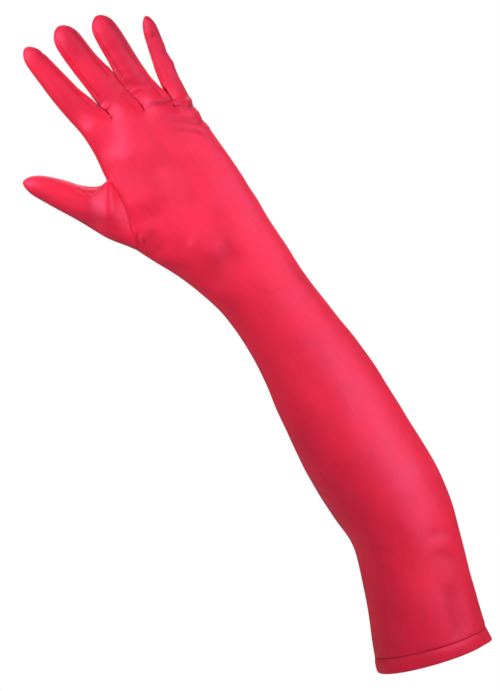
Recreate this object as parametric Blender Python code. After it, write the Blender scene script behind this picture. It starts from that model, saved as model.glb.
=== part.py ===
"""Elbow length dress glove for the left hand, in the shape that it has when worn.

Metres, +Z up, +X across the palm towards the little finger, -Y in front of the palm. The origin is
the centre of the arm opening, at the hem. One surface is laid out as a cage of sections, smoothed,
and cut along its seams into the sewn pieces, and each piece then gets a wall of cloth inwards.
"""

import math
from collections import namedtuple

import bmesh
import bpy
from mathutils import Vector

# Cloth and sewing
CLOTH = 0.0012
SEAM_GAP = 0.0004
SHARP_TURN = 140
HEM_HEIGHT = 0.0080
HEM_WALL = 0.0022
HEM_PROUD = 0.0007

# Sleeve, from the hem to the wrist
SLEEVE_LENGTH = 0.346
SLEEVE_WIDTH = 0.0855
SLEEVE_DEPTH = 0.0780

# Hand, from the wrist to the roots of the fingers
PALM_LENGTH = 0.112
PALM_WIDTH = 0.0865
PALM_DEPTH = 0.0360
KNUCKLE_WIDTH = 0.0858
KNUCKLE_DEPTH = 0.0270

# Fingers, by the middle finger, and the thumb
FINGER_LENGTH = 0.0780
FINGER_WIDTH = 0.0224
FINGER_FLATNESS = 0.74
THUMB_LENGTH = 0.0780
THUMB_WIDTH = 0.0420
THUMB_DEPTH = 0.0300

# The cage has a fixed count of points round each limb
ARM_POINTS = 20
FINGER_POINTS = 8
THUMB_POINTS = 12

# along: share of the length; lean: degrees towards the thumb of the step up to the section; tilt:
# degrees of the section itself; width and depth: shares of the sizes; back: share of the depth by
# which the section lies behind the hem's
Sleeve = namedtuple("Sleeve", "along lean tilt width depth back")
HEM = Sleeve(0.000, 11.8, 16.5, 1.000, 0.97, 0.00)
SLEEVE = [
    Sleeve(0.102, 11.8, 14.0, 0.950, 0.98, 0.01),
    Sleeve(0.200, 12.5, 12.5, 0.910, 1.01, 0.03),
    Sleeve(0.270, 13.0, 14.5, 0.925, 1.03, 0.04),
    Sleeve(0.330, 24.0, 23.0, 0.985, 1.02, 0.03),
    Sleeve(0.412, 31.5, 28.0, 1.020, 0.98, 0.01),
    Sleeve(0.516, 32.0, 29.5, 0.985, 0.93, 0.00),
    Sleeve(0.626, 26.5, 29.5, 0.945, 0.84, 0.00),
    Sleeve(0.733, 31.0, 32.0, 0.820, 0.73, 0.00),
    Sleeve(0.834, 35.0, 34.5, 0.755, 0.64, 0.00),
    Sleeve(0.924, 37.0, 36.5, 0.815, 0.58, 0.00),
    Sleeve(1.000, 42.5, 38.0, 0.920, 0.54, 0.00),
]

# seam: degrees from the thumb-side edge to the thumb's seam; front: share of the depth before the axis
Hand = namedtuple("Hand", "along lean tilt width depth front seam squareness")
HAND = [
    Hand(0.17, 49, 31, 1.050, 1.14, 0.50, 18, 2.15),
    Hand(0.26, 50, 27, 1.110, 1.10, 0.49, 20, 2.20),
    Hand(0.38, 28, 26, 1.090, 1.05, 0.49, 27, 2.30),
    Hand(0.50, 28, 26, 1.055, 1.00, 0.48, 32, 2.35),
    Hand(0.63, 28, 26, 1.020, 0.96, 0.47, 30, 2.40),
    Hand(0.74, 28, 26, 0.990, 0.92, 0.46, 22, 2.40),
    Hand(0.88, 29, 24, 0.945, 0.84, 0.46, 18, 2.45),
]
KNUCKLES = Hand(1.00, 33, 16, 1.000, 0.75, 0.50, 18, 2.50)
THUMB_HOLE = (1, 5)

# The roots of the fingers along the knuckles, from the outer side of the index finger: across and
# along as shares of the knuckles' width
Root = namedtuple("Root", "across along")
ROOTS = [
    Root(-0.500, 0.000),
    Root(-0.218, 0.100),
    Root(0.064, 0.083),
    Root(0.324, 0.055),
    Root(0.500, 0.000),
]
# How full the knuckles are, as shares of half their depth: at a crotch, at a finger, and at a side,
# with how far the outermost points are drawn in across, and how far the sides stand out
CROTCH_FULLNESS = 0.62
FINGER_FULLNESS = 1.06
SIDE_FULLNESS = 0.74
SIDE_INSET = 0.028
SIDE_PROUD = 0.010
WEB_RISE = 0.0030

# length and widths are shares of the middle finger's; lean: degrees at the tip; turn: how much more
# it leans at the root; curl: degrees that it bends to the front
Finger = namedtuple("Finger", "name length root middle tip lean turn curl")
FINGERS = [
    Finger("index", 0.990, 1.11, 0.88, 0.69, 40.5, 8, 8),
    Finger("middle", 1.025, 1.00, 0.97, 0.90, 36.5, 10, 9),
    Finger("ring", 1.020, 0.86, 0.90, 0.86, 31, 14, 10),
    Finger("little", 0.900, 0.70, 0.63, 0.46, 19.0, 19, 10),
]
# along the finger: girth is a share of the width there, seam the degrees from its side to the seam
FingerRow = namedtuple("FingerRow", "along girth seam")
FINGER_ROWS = [
    FingerRow(0.15, 0.96, 45),
    FingerRow(0.38, 1.00, 45),
    FingerRow(0.63, 1.00, 45),
    FingerRow(0.84, 0.99, 40),
    FingerRow(0.97, 0.82, 32),
]
FINGER_TIP_REACH = 1.05

# forward: how far the axis lies before the palm's, as a share of the thumb's depth
Thumb = namedtuple("Thumb", "along lean tilt width depth forward")
THUMB = [
    Thumb(0.14, 82, 88, 1.03, 1.02, 0.10),
    Thumb(0.30, 76, 76, 0.72, 0.89, 0.10),
    Thumb(0.47, 72, 70, 0.57, 0.70, 0.06),
    Thumb(0.63, 66, 67, 0.53, 0.64, 0.06),
    Thumb(0.80, 68, 70, 0.45, 0.57, 0.10),
    Thumb(0.94, 75, 78, 0.32, 0.42, 0.12),
]
THUMB_TIP_REACH = 1.03

# Sewn pieces in the order of their marks on the cage
PIECES = [
    "hand_and_sleeve",
    "thumb",
    "cuff_hem",
    "fourchette_index_middle",
    "fourchette_middle_ring",
    "fourchette_ring_little",
]
BODY, THUMB_PIECE, HEM_PIECE, FIRST_FOURCHETTE = range(4)

SATIN = (0.78, 0.028, 0.085, 1.0)
SATIN_ROUGHNESS = 0.42

Station = namedtuple("Station", "centre across front along")


def station(centre, lean, curl=0.0):
    """A place on a limb with its directions: across to the little finger, to the front, and along."""
    lean, curl = math.radians(lean), math.radians(curl)
    across = Vector((math.cos(lean), 0.0, math.sin(lean)))
    along = Vector((-math.sin(lean) * math.cos(curl), -math.sin(curl), math.cos(lean) * math.cos(curl)))
    return Station(centre, across, across.cross(along), along)


def walk(start, length, rows):
    """Stations for a limb's rows: each step runs at its row's lean."""
    stations, centre, along = [], start, 0.0
    for row in rows:
        centre = centre + station(centre, row.lean).along * length * (row.along - along)
        stations.append(station(centre, row.tilt))
        along = row.along
    return stations


def spread(points):
    """How much wider a ring of cage points is than the smooth ring that it makes."""
    return 3 / (2 + math.cos(2 * math.pi / points))


def ring(at, width, depth, angles, squareness=2.0, front=0.5):
    """Cage points round a station at angles in degrees, from the across side over the front."""
    points = []
    for angle in angles:
        c, s = math.cos(math.radians(angle)), math.sin(math.radians(angle))
        x = math.copysign(abs(c) ** (2 / squareness), c) * width / 2
        y = math.copysign(abs(s) ** (2 / squareness), s) * depth * (front if s > 0 else 1 - front)
        points.append(at.centre + (at.across * x + at.front * y) * spread(len(angles)))
    return points


def arm_angles(seam):
    """Angles round the arm and palm, with the two columns at the thumb's side at its seam."""
    step = 360 / ARM_POINTS
    angles = [step * n for n in range(ARM_POINTS)]
    angles[9], angles[11] = 180 - seam, 180 + seam
    return angles


def finger_angles(seam):
    """Angles round a finger: side, three across the front, side, three across the back."""
    return [0, seam, 90, 180 - seam, 180, 180 + seam, 270, 360 - seam]


class Cage:
    """The coarse cage: its points, and its faces with the sewn piece that each belongs to."""

    def __init__(self):
        self.points, self.faces, self.marks = [], [], []

    def add(self, points):
        """Adds points and gives their numbers."""
        first = len(self.points)
        self.points.extend(points)
        return list(range(first, len(self.points)))

    def face(self, corners, mark):
        self.faces.append(corners)
        self.marks.append(mark)

    def band(self, low, high, marks):
        """Faces between two rings of point numbers, with a mark for each column."""
        count = len(low)
        for j in range(count):
            k = (j + 1) % count
            if marks[j] is not None:
                self.face((low[k], low[j], high[j], high[k]), marks[j])

    def cap(self, low, tip, mark):
        """Closes a ring with faces that each span two of its edges, from an odd corner."""
        pole = self.add([tip])[0]
        for j in range(1, len(low), 2):
            a, b, c = low[j], low[(j + 1) % len(low)], low[(j + 2) % len(low)]
            self.face((pole, c, b, a), mark)


def arm_rings(cage):
    """Rings from the hem to the last section before the knuckles, and the knuckles' station."""
    edges = arm_angles(360 / ARM_POINTS)
    start = Vector((0, 0, 0))
    top = start + station(start, HEM.lean).along * HEM_HEIGHT
    rings = []
    for centre in (start, top):
        at = station(centre, HEM.tilt)
        rings.append(cage.add(ring(at, SLEEVE_WIDTH, SLEEVE_DEPTH * HEM.depth, edges)))
    sleeve = walk(start, SLEEVE_LENGTH, SLEEVE)
    for at, row in zip(sleeve, SLEEVE):
        at = at._replace(centre=at.centre - at.front * SLEEVE_DEPTH * row.back)
        rings.append(cage.add(ring(at, SLEEVE_WIDTH * row.width, SLEEVE_DEPTH * row.depth, edges)))
    palm = walk(sleeve[-1].centre, PALM_LENGTH, [*HAND, KNUCKLES])
    for at, row in zip(palm, HAND):
        width, depth = PALM_WIDTH * row.width, PALM_DEPTH * row.depth
        rings.append(cage.add(ring(at, width, depth, arm_angles(row.seam), row.squareness, row.front)))
    return rings, palm[-1]


def knuckle_ring(cage, at):
    """The ring at the roots of the fingers, in the arm's order of points, and the webs between them."""

    def place(across, along, fullness):
        level = at.across * across * KNUCKLE_WIDTH + at.along * along * KNUCKLE_WIDTH
        return at.centre + level + at.front * fullness * KNUCKLE_DEPTH / 2

    first, last = ROOTS[0], ROOTS[-1]
    rows = [(first.across + SIDE_INSET, first.along, SIDE_FULLNESS)]
    for left, right in zip(ROOTS, ROOTS[1:]):
        rows.append(((left.across + right.across) / 2, (left.along + right.along) / 2, FINGER_FULLNESS))
        rows.append((right.across, right.along, CROTCH_FULLNESS))
    rows[-1] = (last.across - SIDE_INSET, last.along, SIDE_FULLNESS)
    front = [place(*row) for row in rows]
    back = [place(row[0], row[1], -row[2]) for row in rows]
    thumb_side = place(first.across - SIDE_PROUD, first.along, 0)
    little_side = place(last.across + SIDE_PROUD, last.along, 0)
    points = [little_side, *reversed(front), thumb_side, *back]
    webs = [place(root.across, root.along, 0) + at.along * WEB_RISE for root in ROOTS[1:-1]]
    return cage.add(points), cage.add(webs)


def finger_root(knuckles, webs, number):
    """The eight point numbers round a finger's root, in a finger ring's order."""
    right = knuckles[0] if number == len(FINGERS) - 1 else webs[number]
    left = knuckles[10] if number == 0 else webs[number - 1]
    front = [knuckles[7 - 2 * number + step] for step in range(3)]
    back = [knuckles[11 + 2 * number + step] for step in range(3)]
    return [right, *front, left, *back]


def finger_marks(number):
    """The piece of each of a finger's eight columns: its inner sides belong to the fourchettes."""
    marks = [BODY] * FINGER_POINTS
    if number < len(FINGERS) - 1:
        marks[0] = marks[7] = FIRST_FOURCHETTE + number
    if number > 0:
        marks[3] = marks[4] = FIRST_FOURCHETTE + number - 1
    return marks


def width_at(finger, along):
    """A finger's width at a share of its length, from its root, middle and tip widths."""
    a, b, c = finger.root, finger.middle, finger.tip
    t = min(max(along, 0.0), 1.0)
    return FINGER_WIDTH * (a * (1 - t) * (1 - 2 * t) + b * 4 * t * (1 - t) + c * t * (2 * t - 1))


def finger_lean(finger, along):
    """A finger's lean at a share of its length: it settles quickly from its root's."""
    return finger.lean + finger.turn * (1 - along) ** 3


def add_finger(cage, number, knuckles, webs, at):
    """One finger's tube from its root to its closed tip."""
    finger = FINGERS[number]
    root = finger_root(knuckles, webs, number)
    left, right = ROOTS[number], ROOTS[number + 1]
    across = (left.across + right.across) / 2 * KNUCKLE_WIDTH
    along = (left.along + right.along) / 2 * KNUCKLE_WIDTH
    start = at.centre + at.across * across + at.along * along
    length = FINGER_LENGTH * finger.length
    below, along, place = root, 0.0, station(start, finger.lean)
    for row in FINGER_ROWS:
        middle = (along + row.along) / 2
        step = station(start, finger_lean(finger, middle), finger.curl * middle).along
        centre = place.centre + step * length * (row.along - along)
        place = station(centre, finger_lean(finger, row.along), finger.curl * row.along)
        width = width_at(finger, row.along) * row.girth
        points = ring(place, width, width * FINGER_FLATNESS, finger_angles(row.seam))
        above = cage.add(points)
        cage.band(below, above, finger_marks(number))
        below, along = above, row.along
    cage.cap(below, place.centre + place.along * length * (FINGER_TIP_REACH - along), BODY)


def thumb_loop(rings):
    """The point numbers round the thumb's hole: top, down its front seam, bottom, and up the back."""
    low, high = THUMB_HOLE
    low, high = low + len(rings) - len(HAND), high + len(rings) - len(HAND)
    front = [rings[row][9] for row in range(high, low - 1, -1)]
    back = [rings[row][11] for row in range(low, high + 1)]
    return [rings[high][10], *front, rings[low][10], *back]


def add_thumb(cage, rings):
    """The thumb's tube from its seam to its closed tip."""
    loop = thumb_loop(rings)
    start = sum((cage.points[n] for n in loop), Vector()) / len(loop)
    stations = walk(start, THUMB_LENGTH, THUMB)
    below = loop
    for place, row in zip(stations, THUMB):
        width, depth = THUMB_WIDTH * row.width, THUMB_DEPTH * row.depth
        centre = place.centre + place.front * THUMB_DEPTH * row.forward
        points = []
        for n in range(THUMB_POINTS):
            turn = 2 * math.pi * n / THUMB_POINTS
            offset = place.across * math.cos(turn) * width / 2 + place.front * math.sin(turn) * depth / 2
            points.append(centre + offset * spread(THUMB_POINTS))
        above = cage.add(points)
        cage.band(below, above, [THUMB_PIECE] * THUMB_POINTS)
        below = above
    tip = stations[-1].centre + stations[-1].front * THUMB_DEPTH * THUMB[-1].forward
    tip = tip + stations[-1].along * THUMB_LENGTH * (THUMB_TIP_REACH - THUMB[-1].along)
    cage.cap(below, tip, THUMB_PIECE)


def glove_cage():
    """The whole glove as a cage with each face marked with its piece."""
    cage = Cage()
    rings, at = arm_rings(cage)
    knuckles, webs = knuckle_ring(cage, at)
    rings.append(knuckles)
    low, high = (row + len(rings) - 1 - len(HAND) for row in THUMB_HOLE)
    for row in range(len(rings) - 1):
        marks = [HEM_PIECE if row == 0 else BODY] * ARM_POINTS
        if low <= row < high:
            marks[9] = marks[10] = None
        cage.band(rings[row], rings[row + 1], marks)
    for number in range(len(FINGERS)):
        add_finger(cage, number, knuckles, webs, at)
    add_thumb(cage, rings[:-1])
    return cage


def smoothed(cage):
    """The cage's smooth surface as a mesh whose material indices are the pieces' marks."""
    mesh = bpy.data.meshes.new("cage")
    mesh.from_pydata([tuple(p) for p in cage.points], [], cage.faces)
    for name in PIECES:
        mesh.materials.append(bpy.data.materials.new(name))
    mesh.polygons.foreach_set("material_index", cage.marks)
    holder = bpy.data.objects.new("cage", mesh)
    bpy.context.scene.collection.objects.link(holder)
    smooth = holder.modifiers.new("Smooth", "SUBSURF")
    smooth.levels = smooth.render_levels = 1
    bpy.context.view_layer.update()
    surface = bpy.data.meshes.new_from_object(holder.evaluated_get(bpy.context.evaluated_depsgraph_get()))
    bpy.data.objects.remove(holder)
    return surface


def ease_seams(bm, free):
    """Draws each piece's edge back along the cloth by half the seam's gap, and by more where the
    seam turns sharply, but not its free edge."""
    moves = {}
    for vert in bm.verts:
        if not vert.is_boundary or vert[free]:
            continue
        inner = [e.other_vert(vert) for e in vert.link_edges if not e.is_boundary]
        beside = inner or [e.other_vert(vert) for e in vert.link_edges]
        way = sum((other.co for other in beside), Vector()) / len(beside) - vert.co
        moves[vert] = way.normalized() * SEAM_GAP / 2
        ahead = [e.other_vert(vert).co - vert.co for e in vert.link_edges if e.is_boundary]
        if ahead[0].angle(ahead[1]) < math.radians(SHARP_TURN):
            moves[vert] *= 2
    for vert, move in moves.items():
        vert.co += move


def wall_in(bm, outward, wall):
    """Adds the inner face of the cloth and its cut edges to an open outer face."""
    outer = list(bm.verts)
    faces = list(bm.faces)
    rims = [(e.link_loops[0].vert, e.link_loops[0].link_loop_next.vert) for e in bm.edges if e.is_boundary]
    inner = {v: bm.verts.new(v.co - v[outward].normalized() * wall) for v in outer}
    for face in faces:
        bm.faces.new([inner[v] for v in reversed(face.verts)])
    for a, b in rims:
        bm.faces.new((b, a, inner[a], inner[b]))


def make_piece(surface, mark, material, parent):
    """One sewn piece as its own object: cut from the surface, eased at its seams, with its wall."""
    bm = bmesh.new()
    bm.from_mesh(surface)
    outward = bm.verts.layers.float_vector.new("outward")
    free = bm.verts.layers.int.new("free")
    bmesh.ops.delete(bm, geom=[v for v in bm.verts if not v.link_faces], context="VERTS")
    bm.normal_update()
    for vert in bm.verts:
        around = [e.other_vert(vert).normal for e in vert.link_edges]
        vert[outward] = (vert.normal + sum(around, Vector()) / len(around)).normalized()
        vert[free] = int(vert.is_boundary)
    bmesh.ops.delete(bm, geom=[f for f in bm.faces if f.material_index != mark], context="FACES")
    ease_seams(bm, free)
    wall = CLOTH
    if mark == HEM_PIECE:
        wall = HEM_WALL
        for vert in bm.verts:
            vert.co += vert[outward] * HEM_PROUD
    wall_in(bm, outward, wall)
    for face in bm.faces:
        face.material_index = 0
    mesh = bpy.data.meshes.new(PIECES[mark])
    bm.to_mesh(mesh)
    bm.free()
    mesh.materials.append(material)
    mesh.shade_smooth()
    mesh.set_sharp_from_angle(angle=math.radians(50))
    piece = bpy.data.objects.new(PIECES[mark], mesh)
    bpy.context.scene.collection.objects.link(piece)
    piece.parent = parent
    return piece


def satin():
    """Red stretch satin."""
    material = bpy.data.materials.new("red_satin")
    material.use_nodes = True
    shader = material.node_tree.nodes["Principled BSDF"]
    shader.inputs["Base Color"].default_value = SATIN
    shader.inputs["Roughness"].default_value = SATIN_ROUGHNESS
    shader.inputs["Metallic"].default_value = 0.0
    return material


def main():
    for old in list(bpy.data.objects):
        bpy.data.objects.remove(old)
    glove = bpy.data.objects.new("glove", None)
    bpy.context.scene.collection.objects.link(glove)
    surface = smoothed(glove_cage())
    material = satin()
    for mark in range(len(PIECES)):
        make_piece(surface, mark, material, glove)
    bpy.data.meshes.remove(surface)


main()
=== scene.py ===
"""Elbow length dress glove of red stretch satin, in the shape that it has when worn.

Metres, +Z up, +X across the palm towards the little finger, -Y in front of the palm. The cage of
sections is the solid model's own. Here it is smoothed finely, creased along its folds and seams, and
cut into the sewn pieces. Run as a script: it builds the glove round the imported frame.
"""

import math
from collections import namedtuple
from functools import cache

import bmesh
import bpy
import numpy as np
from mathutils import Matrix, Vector, noise
from mathutils.kdtree import KDTree


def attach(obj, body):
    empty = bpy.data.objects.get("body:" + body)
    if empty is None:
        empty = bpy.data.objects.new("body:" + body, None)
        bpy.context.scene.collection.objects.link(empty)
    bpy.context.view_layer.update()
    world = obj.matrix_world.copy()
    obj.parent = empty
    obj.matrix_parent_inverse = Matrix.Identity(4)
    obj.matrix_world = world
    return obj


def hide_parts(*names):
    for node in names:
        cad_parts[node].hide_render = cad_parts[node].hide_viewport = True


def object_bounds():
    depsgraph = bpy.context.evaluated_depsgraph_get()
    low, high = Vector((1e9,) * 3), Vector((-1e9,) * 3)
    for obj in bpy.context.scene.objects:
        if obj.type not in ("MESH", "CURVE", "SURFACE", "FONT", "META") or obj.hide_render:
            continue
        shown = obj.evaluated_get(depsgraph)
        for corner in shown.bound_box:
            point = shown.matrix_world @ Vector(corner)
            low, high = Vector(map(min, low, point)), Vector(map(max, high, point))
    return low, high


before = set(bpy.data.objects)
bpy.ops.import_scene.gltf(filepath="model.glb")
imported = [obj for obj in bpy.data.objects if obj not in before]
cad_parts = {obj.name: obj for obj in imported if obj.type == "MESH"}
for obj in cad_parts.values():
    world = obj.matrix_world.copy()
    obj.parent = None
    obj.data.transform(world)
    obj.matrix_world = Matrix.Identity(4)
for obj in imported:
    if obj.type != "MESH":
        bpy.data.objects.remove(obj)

bl_info = {
    "name": "Elbow length dress glove",
    "version": (1, 0, 0),
    "blender": (4, 5, 0),
    "location": "3D View > Sidebar > Glove",
    "description": "Builds a worn elbow length glove of stretch satin with its seams, folds and hem",
    "category": "Add Mesh",
}

BODY = "root"
MILLIMETRE = 0.001
CAD_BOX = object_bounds()

# Sewing of the solid model
HEM_HEIGHT = 0.0080
HEM_WALL = 0.0022

# Sleeve, from the hem to the wrist
SLEEVE_LENGTH = 0.346
SLEEVE_WIDTH = 0.0855
SLEEVE_DEPTH = 0.0780

# Hand, from the wrist to the roots of the fingers
PALM_LENGTH = 0.112
PALM_WIDTH = 0.0865
PALM_DEPTH = 0.0360
KNUCKLE_WIDTH = 0.0858
KNUCKLE_DEPTH = 0.0270

# Fingers, by the middle finger, and the thumb
FINGER_LENGTH = 0.0780
FINGER_WIDTH = 0.0224
FINGER_FLATNESS = 0.74
THUMB_LENGTH = 0.0780
THUMB_WIDTH = 0.0420
THUMB_DEPTH = 0.0300

# The cage has a fixed count of points round each limb, and is halved this many times when smoothed
ARM_POINTS = 20
FINGER_POINTS = 8
THUMB_POINTS = 12
SMOOTHING = 3
# The sleeve's column along the thumb's side. The thumb's hole lies between the columns beside it
THUMB_SIDE = ARM_POINTS // 2

# along: share of the length; lean: degrees towards the thumb of the step up to the section; tilt:
# degrees of the section itself; width and depth: shares of the sizes; back: share of the depth by
# which the section lies behind the hem's
Sleeve = namedtuple("Sleeve", "along lean tilt width depth back")
HEM = Sleeve(0.000, 11.8, 16.5, 1.000, 0.97, 0.00)
SLEEVE = [
    Sleeve(0.102, 11.8, 14.0, 0.950, 0.98, 0.01),
    Sleeve(0.200, 12.5, 12.5, 0.910, 1.01, 0.03),
    Sleeve(0.270, 13.0, 14.5, 0.925, 1.03, 0.04),
    Sleeve(0.330, 24.0, 23.0, 0.985, 1.02, 0.03),
    Sleeve(0.412, 31.5, 28.0, 1.020, 0.98, 0.01),
    Sleeve(0.516, 32.0, 29.5, 0.985, 0.93, 0.00),
    Sleeve(0.626, 26.5, 29.5, 0.945, 0.84, 0.00),
    Sleeve(0.733, 31.0, 32.0, 0.820, 0.73, 0.00),
    Sleeve(0.834, 35.0, 34.5, 0.755, 0.64, 0.00),
    Sleeve(0.924, 37.0, 36.5, 0.815, 0.58, 0.00),
    Sleeve(1.000, 42.5, 38.0, 0.920, 0.54, 0.00),
]

# seam: degrees from the thumb-side edge to the thumb's seam; front: share of the depth before the axis
Hand = namedtuple("Hand", "along lean tilt width depth front seam squareness")
HAND = [
    Hand(0.17, 49, 31, 1.050, 1.14, 0.50, 18, 2.15),
    Hand(0.26, 50, 27, 1.110, 1.10, 0.49, 20, 2.20),
    Hand(0.38, 28, 26, 1.090, 1.05, 0.49, 27, 2.30),
    Hand(0.50, 28, 26, 1.055, 1.00, 0.48, 32, 2.35),
    Hand(0.63, 28, 26, 1.020, 0.96, 0.47, 30, 2.40),
    Hand(0.74, 28, 26, 0.990, 0.92, 0.46, 22, 2.40),
    Hand(0.88, 29, 24, 0.945, 0.84, 0.46, 18, 2.45),
]
KNUCKLES = Hand(1.00, 33, 16, 1.000, 0.75, 0.50, 18, 2.50)
THUMB_HOLE = (1, 5)

# The roots of the fingers along the knuckles, from the outer side of the index finger: across and
# along as shares of the knuckles' width
Root = namedtuple("Root", "across along")
ROOTS = [
    Root(-0.500, 0.000),
    Root(-0.218, 0.100),
    Root(0.064, 0.083),
    Root(0.324, 0.055),
    Root(0.500, 0.000),
]
# How full the knuckles are, as shares of half their depth: at a crotch, at a finger, and at a side,
# with how far the outermost points are drawn in across, and how far the sides stand out
CROTCH_FULLNESS = 0.62
FINGER_FULLNESS = 1.06
SIDE_FULLNESS = 0.74
SIDE_INSET = 0.028
SIDE_PROUD = 0.010
WEB_RISE = 0.0030

# length and widths are shares of the middle finger's; lean: degrees at the tip; turn: how much more
# it leans at the root; curl: degrees that it bends to the front
Finger = namedtuple("Finger", "name length root middle tip lean turn curl")
FINGERS = [
    Finger("index", 0.990, 1.11, 0.88, 0.69, 40.5, 8, 8),
    Finger("middle", 1.025, 1.00, 0.97, 0.90, 36.5, 10, 9),
    Finger("ring", 1.020, 0.86, 0.90, 0.86, 31, 14, 10),
    Finger("little", 0.900, 0.70, 0.63, 0.46, 19.0, 19, 10),
]
# along the finger: girth is a share of the width there, seam the degrees from its side to the seam
FingerRow = namedtuple("FingerRow", "along girth seam")
FINGER_ROWS = [
    FingerRow(0.15, 0.96, 45),
    FingerRow(0.38, 1.00, 45),
    FingerRow(0.63, 1.00, 45),
    FingerRow(0.84, 0.99, 40),
    FingerRow(0.97, 0.82, 32),
]
FINGER_TIP_REACH = 1.05

# forward: how far the axis lies before the palm's, as a share of the thumb's depth
Thumb = namedtuple("Thumb", "along lean tilt width depth forward")
THUMB = [
    Thumb(0.14, 82, 88, 1.03, 1.02, 0.10),
    Thumb(0.30, 76, 76, 0.72, 0.89, 0.10),
    Thumb(0.47, 72, 70, 0.57, 0.70, 0.06),
    Thumb(0.63, 66, 67, 0.53, 0.64, 0.06),
    Thumb(0.80, 68, 70, 0.45, 0.57, 0.10),
    Thumb(0.94, 75, 78, 0.32, 0.42, 0.12),
]
THUMB_TIP_REACH = 1.03

# Sewn pieces in the order of their marks on the cage: the solid node that each replaces, the size
# that its cloth is cut to, and the share of that rectangle which the cut fills
Piece = namedtuple("Piece", "node cut_width cut_length share")
PIECES = [
    Piece("hand_and_sleeve", 0.262, 0.560, 0.80),
    Piece("thumb", 0.100, 0.085, 0.70),
    Piece("cuff_hem", 0.262, 0.0184, 1.00),
    Piece("fourchette_index_middle", 0.0145, 0.150, 0.90),
    Piece("fourchette_middle_ring", 0.0145, 0.150, 0.90),
    Piece("fourchette_ring_little", 0.0125, 0.140, 0.90),
]
PIECE_NAME = "{}_satin"
BODY_PIECE, THUMB_PIECE, HEM_PIECE, FIRST_FOURCHETTE = range(4)

# Each limb's cloth starts at a whole metre of its own along the UV map's second axis, and a place
# this little below that metre still counts to it
ARM_CLOTH, FIRST_FINGER_CLOTH, THUMB_CLOTH = 0, 1, 5
EDGE = 1e-6
# Metres of cloth round a limb, by its count of points
GIRTHS = {ARM_POINTS: 0.250, FINGER_POINTS: 0.066, THUMB_POINTS: 0.100}

# The picture's frame and the camera: metres of the plane Y = 0 for one of its pixels, the pixel of
# the hem's centre, and the camera's distance
FRAME_WIDTH, FRAME_HEIGHT = 500, 691
PIXEL = 0.00074
HEM_PIXEL_X, HEM_PIXEL_Y = 433.0, 655.8
CAMERA_DISTANCE = 1.45
SENSOR = 36.0
CAMERA_X = (FRAME_WIDTH / 2 - HEM_PIXEL_X) * PIXEL
CAMERA_Z = (HEM_PIXEL_Y - FRAME_HEIGHT / 2) * PIXEL

# Folds on the palm's side, by the picture's pixels: from and to, how far the middle bows to the
# left of the way, and half width and height in millimetres, a valley's below zero
Fold = namedtuple("Fold", "x0 y0 x1 y1 bow width height")
FINGER_ROOT_FOLDS = [
    (93, 100, 112, 116, 0, 2.2, -1.7),
    (107, 109, 114, 118, 0, 3.0, -0.8),
    (118, 82, 144, 107, 1, 1.9, -1.7),
    (139, 103, 147, 107, 0, 1.6, -0.9),
    (161, 90, 178, 101, 1, 1.8, -1.2),
    (124, 79, 141, 70, -2, 1.3, 0.30),
    (126, 82, 143, 73, -2, 1.3, -0.25),
    (132, 86, 150, 77, -2, 1.4, -0.25),
    (131, 90, 151, 82, -2, 1.5, 0.20),
]
PALM_FOLDS = [
    (144, 105, 186, 107, 7, 1.9, 0.90),
    (141, 108, 188, 112, 8, 1.9, -0.85),
    (152, 108, 182, 110, 5, 1.3, 0.40),
    (168, 104, 188, 104, 2, 1.3, -0.45),
    (155, 117, 200, 121, 4, 2.4, 0.65),
    (160, 122, 203, 126, 4, 2.0, -0.50),
    (166, 126, 208, 131, 4, 1.8, 0.60),
    (168, 130, 209, 135, 4, 1.9, -0.45),
    (170, 133, 209, 139, 4, 1.8, 0.50),
    (120, 135, 146, 150, 0, 13, 0.80),
    (122, 135, 150, 222, 0, 24, 2.40),
    (176, 150, 190, 215, 0, 14, -1.60),
]
THUMB_FOLDS = [
    (88, 172, 95, 240, 0, 9.0, -2.8),
    (107, 178, 110, 226, 0, 4.5, 1.3),
    (75, 187, 88, 192, 1, 1.8, -0.7),
    (87, 193, 106, 184, 1, 1.8, -0.9),
    (86, 188, 107, 180, 1, 1.8, 0.5),
]
WRIST_FOLDS = [
    (136, 231, 138, 247, 0, 1.2, -0.75),
    (140, 235, 141, 249, 0, 1.1, 0.50),
    (143, 238, 144, 249, 0, 1.0, -0.45),
    (146, 241, 148, 252, 0, 1.2, 0.35),
    (142, 236, 163, 256, 0, 8.5, -1.5),
    (186, 240, 224, 258, 0, 10, 1.9),
    (238, 240, 208, 296, -2, 9.5, -1.9),
    (166, 259, 206, 262, -1, 1.8, 0.35),
    (160, 263, 196, 267, -1, 1.8, -0.30),
    (246, 268, 266, 274, -2, 2.4, 0.40),
    (248, 278, 274, 286, -2, 2.4, 0.40),
    (254, 289, 286, 300, -2, 2.6, 0.40),
    (251, 283, 280, 293, -2, 2.2, -0.30),
]
SLEEVE_FOLDS = [
    (352, 490, 372, 530, 0, 11, -1.2),
    (366, 548, 395, 556, 2, 3.6, -0.5),
    (370, 562, 398, 566, 2, 3.6, 0.4),
    (425, 538, 455, 532, 2, 3.0, -0.35),
    (430, 548, 458, 545, 2, 3.0, 0.35),
    (428, 560, 460, 558, 2, 3.0, -0.35),
    (448, 580, 461, 646, 0, 7.0, -1.4),
    (443, 585, 449, 640, 0, 6.0, 0.4),
    (464, 590, 478, 644, 0, 4.5, 0.7),
    (392, 600, 396, 655, 0, 10, -0.5),
    (414, 590, 420, 650, 0, 10, 0.5),
]
FRONT_FOLDS = FINGER_ROOT_FOLDS + PALM_FOLDS + THUMB_FOLDS + WRIST_FOLDS + SLEEVE_FOLDS
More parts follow.
